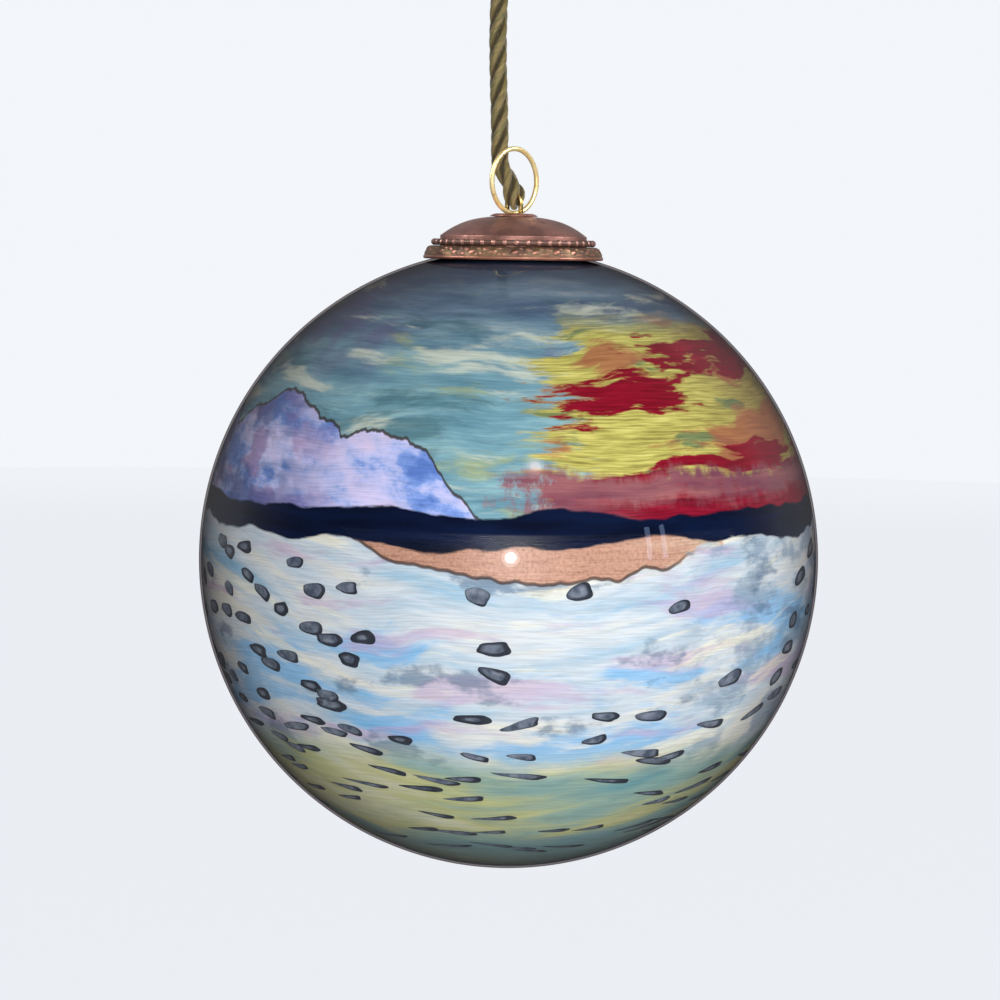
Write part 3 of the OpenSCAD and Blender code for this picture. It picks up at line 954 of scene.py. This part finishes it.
def leg_path(side, h):
    """Centre of the cord on one leg, h mm above the crown of the eye. -1 is the front leg. It leans
    back to leave the ring room when the hanger swings."""
    angle = blend(BIGHT_ANGLE, math.pi / 2, ease(h / 2))
    near, spread_from, straight_from, ring_room = CORD_D / MM / 2 + 0.045, 20, 14, 2.55
    if h < spread_from:
        gap = blend(BIGHT_R, near, ease(h / 3))
    else:
        gap = blend(near, LEG_SPREAD, ease((h - spread_from) / (LEG_TOP - spread_from)))
    behind = ring_room * ease(h / 4.3)
    behind *= 1 - ease((h - straight_from) / (LEG_TOP - straight_from))
    sideways = -0.6 * ease((h - 4) / 20) * (1 - ease((h - 26) / (LEG_TOP - 26)))
    flat = Vector((side * gap * math.cos(angle) + sideways, side * gap * math.sin(angle), h))
    return (flat - EYE_DIR * behind) * MM + UP * CROWN_Z


def loop_stations():
    """Points and radii round the whole loop: under the eye, up the back, over, down the front."""
    way = Vector((math.cos(BIGHT_ANGLE), math.sin(BIGHT_ANGLE), 0))
    points = []
    for k in range(24):
        a = math.pi * (1 - (k + 0.5) / 24)
        points.append((way * math.cos(a) - UP * math.sin(a)) * BIGHT_R * MM + UP * CROWN_Z)
    heights = [LEG_TOP * k / 220 for k in range(221)]
    points += [leg_path(1, h) for h in heights]
    for y, z in arc((0, LEG_TOP), LEG_SPREAD, 3.75, 176.25, 46):
        points.append(Vector((0, y, z)) * MM + UP * CROWN_Z)
    points += [leg_path(-1, h) for h in reversed(heights)]
    points = resample(points, 0.36 * MM, closed=True)
    radii = [blend(CORD_PINCH, CORD_D, ease((p.z - CROWN_Z + 1.1 * MM) / (2 * MM))) / 2 for p in points]
    return points, radii


def knot_coil():
    """Cord wound round the two strands where they are knotted, its ends tucked inside."""
    low, pitch, turns, tuck, steps = 0.86 * MM + CORD_D / 2, 2.12 * MM, 2.05, 0.45, 260
    points = []
    for k in range(steps + 1):
        t = blend(-tuck, turns + tuck, k / steps)
        outward = ease((t + tuck) / tuck) * ease((turns + tuck - t) / tuck)
        radius = blend(0.4, 2.02, outward) * MM
        level = low + pitch * min(max(t, 0), turns)
        slant = 0.35 * MM * math.sin(TURN * t)
        points.append(Vector((radius * math.cos(TURN * t), radius * math.sin(TURN * t), level + slant)))
    return resample(points, 0.3 * MM)


def tail_path(side):
    """A cut end above the knot, leaning out a little."""
    ways = ((0, side * 0.9, 5.2), (0, side * 1.2, 7.6), (side * 0.2, side * 1.5, 10.2),
            (side * 0.5, side * 2.4, LOOP_TOP / MM - 0.3))
    return resample(round_corners([Vector(way) * MM for way in ways]), 0.3 * MM)


def frayed_end(tip, way, dice):
    """Fine loose fibres at a cut end."""
    parts = []
    for _ in range(26):
        spin = dice.uniform(0, TURN)
        out = Matrix.Rotation(spin, 3, way) @ way.orthogonal().normalized()
        start = tip + out * dice.uniform(0.1, 0.95) * MM - way * 0.5 * MM
        reach = dice.uniform(0.7, 1.5) * MM
        bend = out * dice.uniform(0.05, 0.45) * MM
        path = [start + way * reach * t + bend * t * t for t in (0, 0.25, 0.5, 0.75, 1)]
        parts.append(tube(path, [r * MM for r in (0.045, 0.045, 0.04, 0.035, 0.02)], 5))
    return joined(parts)


def cord_loop(material):
    """The loop, the coil of its knot, and two frayed tails."""
    points, radii = loop_stations()
    knot = knot_coil()
    dice = random.Random(23)
    parts = [laid_cord(points, radii, 9.6 * MM, closed=True, phase=0.6),
             laid_cord(knot, [CORD_D * 0.49] * len(knot), 7.5 * MM, phase=1.0)]
    for side in (-1, 1):
        path = tail_path(side)
        parts.append(laid_cord(path, [CORD_D * 0.48] * len(path), 8.6 * MM, phase=side, splay=0.22))
        verts, faces = frayed_end(path[-1], (path[-1] - path[-3]).normalized(), dice)
        fibre = [(0.3, 0.7, 0.1 * (i // 5)) for i in range(len(verts))]
        parts.append((verts, faces, fibre, [0.3] * len(verts)))
    return make_piece("twisted_cord", joined(parts), material, "cord", "cord_loop",
                      ["fibre", "depth"])


# ---- floor, light and camera

FLOOR_DROP = 0.17
FLOOR_Z = lowest("glass_ball") - FLOOR_DROP
FLOOR_R = 2.45
# The camera's place from the ball's middle, its lens in mm, and its turns in degrees.
CAMERA_WAY = Vector((0, -0.3156, 0.0390))
LENS = 92.6
PITCH, YAW, ROLL = -5.765, 0.208, 0.9


def studio_floor():
    """A round pale floor that fades into the equally pale surroundings far away."""
    g = Graph("studio_floor")
    x, y, _ = g.split(g.place())
    away = g.math("SQRT", x * x + y * y)
    pale = g.mix(g.step(away, FLOOR_R * 0.75, FLOOR_R * 0.99), rgb(238, 241, 246), rgb(243, 246, 250))
    pale = g.mix(g.noise(g.place(), 3, 2) * 0.04, pale, rgb(232, 236, 242))
    seen = Number(g, g.node("ShaderNodeLightPath").outputs["Is Camera Ray"])
    glow = g.fed(g.node("ShaderNodeEmission"), Color=pale, Strength=seen * 0.85 + 0.22)
    soft = g.fed(g.node("ShaderNodeBsdfDiffuse"), Color=pale)
    verts, faces = loft([circle(FLOOR_R, FLOOR_Z, 128), [UP * FLOOR_Z]])
    add_mesh("studio_floor", verts, faces, g.finish(g.either(0.12, glow, soft)))


def surroundings():
    """Pale all round for the camera. Mirrors see a pale wall behind and a dim room in front."""
    world = bpy.data.worlds.new("surroundings")
    bpy.context.scene.world = world
    g = Graph(world)
    behind = g.split(g.place("Generated"))[1]
    path = g.node("ShaderNodeLightPath").outputs
    lights = []
    for colour, strength in ((rgb(236, 242, 250), 0.24),
                             (rgb(240, 240, 244), g.step(behind, -0.2, 0.8) * 0.40 + 0.05),
                             (rgb(243, 246, 250), 1.0)):
        lights.append(g.fed(g.node("ShaderNodeBackground"), Color=colour, Strength=strength))
    ambient, mirrored, shown = lights
    rest = g.either(path["Is Glossy Ray"], ambient, mirrored)
    g.finish(g.either(path["Is Camera Ray"], rest, shown), "ShaderNodeOutputWorld")


def aim(made, way, look):
    """Puts a lamp or the camera beside the ball and points it along look."""
    made.location = BALL_C + way
    made.rotation_mode = "QUATERNION"
    made.rotation_quaternion = look.to_track_quat("-Z", "Y")


def lamp(name, way, size, power, colour=(1, 1, 1), mirrored=False, only=(), shape="RECTANGLE"):
    """A flat lamp that faces the ball. A mirrored one is only seen in reflections, and any other one
    only lights. only names the pieces it reaches."""
    data = bpy.data.lights.new(name, "AREA")
    data.shape = shape
    data.size, data.size_y = size
    data.energy, data.color = power, colour
    made = add(name, data)
    aim(made, Vector(way), -Vector(way))
    made.visible_glossy = mirrored
    made.visible_diffuse = not mirrored
    made.visible_camera = False
    if only:
        lit = bpy.data.collections.new(name)
        for piece in only:
            lit.objects.link(piece)
        made.light_linking.receiver_collection = lit


def studio_lights(metal, pieces):
    """Soft light from the front. The glass mirrors only two windows, the camera's own light and a glow
    above it. Those last two are three lamps each, so that their edges are soft."""
    lamp("key", (0.06, -0.80, 0.10), (0.40, 0.40), 6.6)
    lamp("fill", (0.55, -0.50, 0.0), (0.40, 0.40), 2.0, only=pieces)
    lamp("back_fill", (0.20, 0.80, 0.15), (0.5, 0.5), 5.5, only=pieces)
    lamp("metal_front", (0.15, -0.60, 0.45), (0.35, 0.25), 4.0, mirrored=True, only=metal)
    for name, x in (("metal_left", -0.45), ("metal_right", 0.45)):
        lamp(name, (x, -0.10, 0.30), (0.10, 0.25), 2.4, mirrored=True, only=metal)
    for step, (across, power) in enumerate(((0.012, 0.10), (0.022, 0.020), (0.036, 0.014))):
        way = CAMERA_WAY + Vector((0.004, -0.01 * step, 0.001))
        lamp(f"camera_light_{step}", way, (across, across), power, mirrored=True, shape="ELLIPSE")
    for step, (across, power) in enumerate(((0.022, 0.008), (0.036, 0.010), (0.050, 0.008))):
        way = Vector((0.050, -0.273, 0.214)) * (1 + 0.03 * step)
        lamp(f"ceiling_glow_{step}", way, (across, across), power, (1.0, 0.66, 0.60), mirrored=True,
             shape="ELLIPSE")
    for bearing in (50, 56):
        turn = math.radians(bearing)
        way = (0.5 * math.sin(turn), -0.5 * math.cos(turn), 0.085)
        lamp(f"window_{bearing}", way, (0.016, 0.09), 0.018, (0.45, 0.62, 1.0), mirrored=True)


def camera():
    """Stands a little above the ball's middle and looks slightly down."""
    data = bpy.data.cameras.new("camera")
    data.sensor_width = 36
    data.lens = LENS
    data.clip_start, data.clip_end = 0.01, 20
    made = add("camera", data)
    pitch, yaw, roll = (math.radians(angle) for angle in (PITCH, YAW, ROLL))
    look = Vector((-math.sin(yaw) * math.cos(pitch), math.cos(yaw) * math.cos(pitch), math.sin(pitch)))
    aim(made, CAMERA_WAY, look)
    turn = Matrix.Rotation(-roll, 3, look).to_quaternion()
    made.rotation_quaternion = turn @ made.rotation_quaternion
    bpy.context.scene.camera = made


# ---- assembly

pieces = [glass_ball(clear_glass()), painted_film(Picture().finished()), pebble_marks(mark_paint())]
dome_copper = copper("antique_copper", (172, 122, 110), (124, 87, 78), (82, 58, 52))
brass = copper("raw_brass", (206, 178, 116), (168, 136, 78), (120, 96, 60), 1.0)
metal = [cap_dome(dome_copper), eyelet(dome_copper), cap_skirt(relief_copper()),
         beaded_band(bead_copper()), neck_ferrule(brass),
         wire_hanger(drawn_wire("hanger_wire", (214, 186, 120), (176, 146, 84), 1.0)),
         jump_ring(drawn_wire("gold_plate", (255, 232, 172), (246, 212, 140), 0.6))]
pieces += metal + [cord_loop(satin_cord())]
studio_floor()
surroundings()
studio_lights(metal, pieces)
camera()
bpy.context.scene.view_settings.view_transform = "Standard"
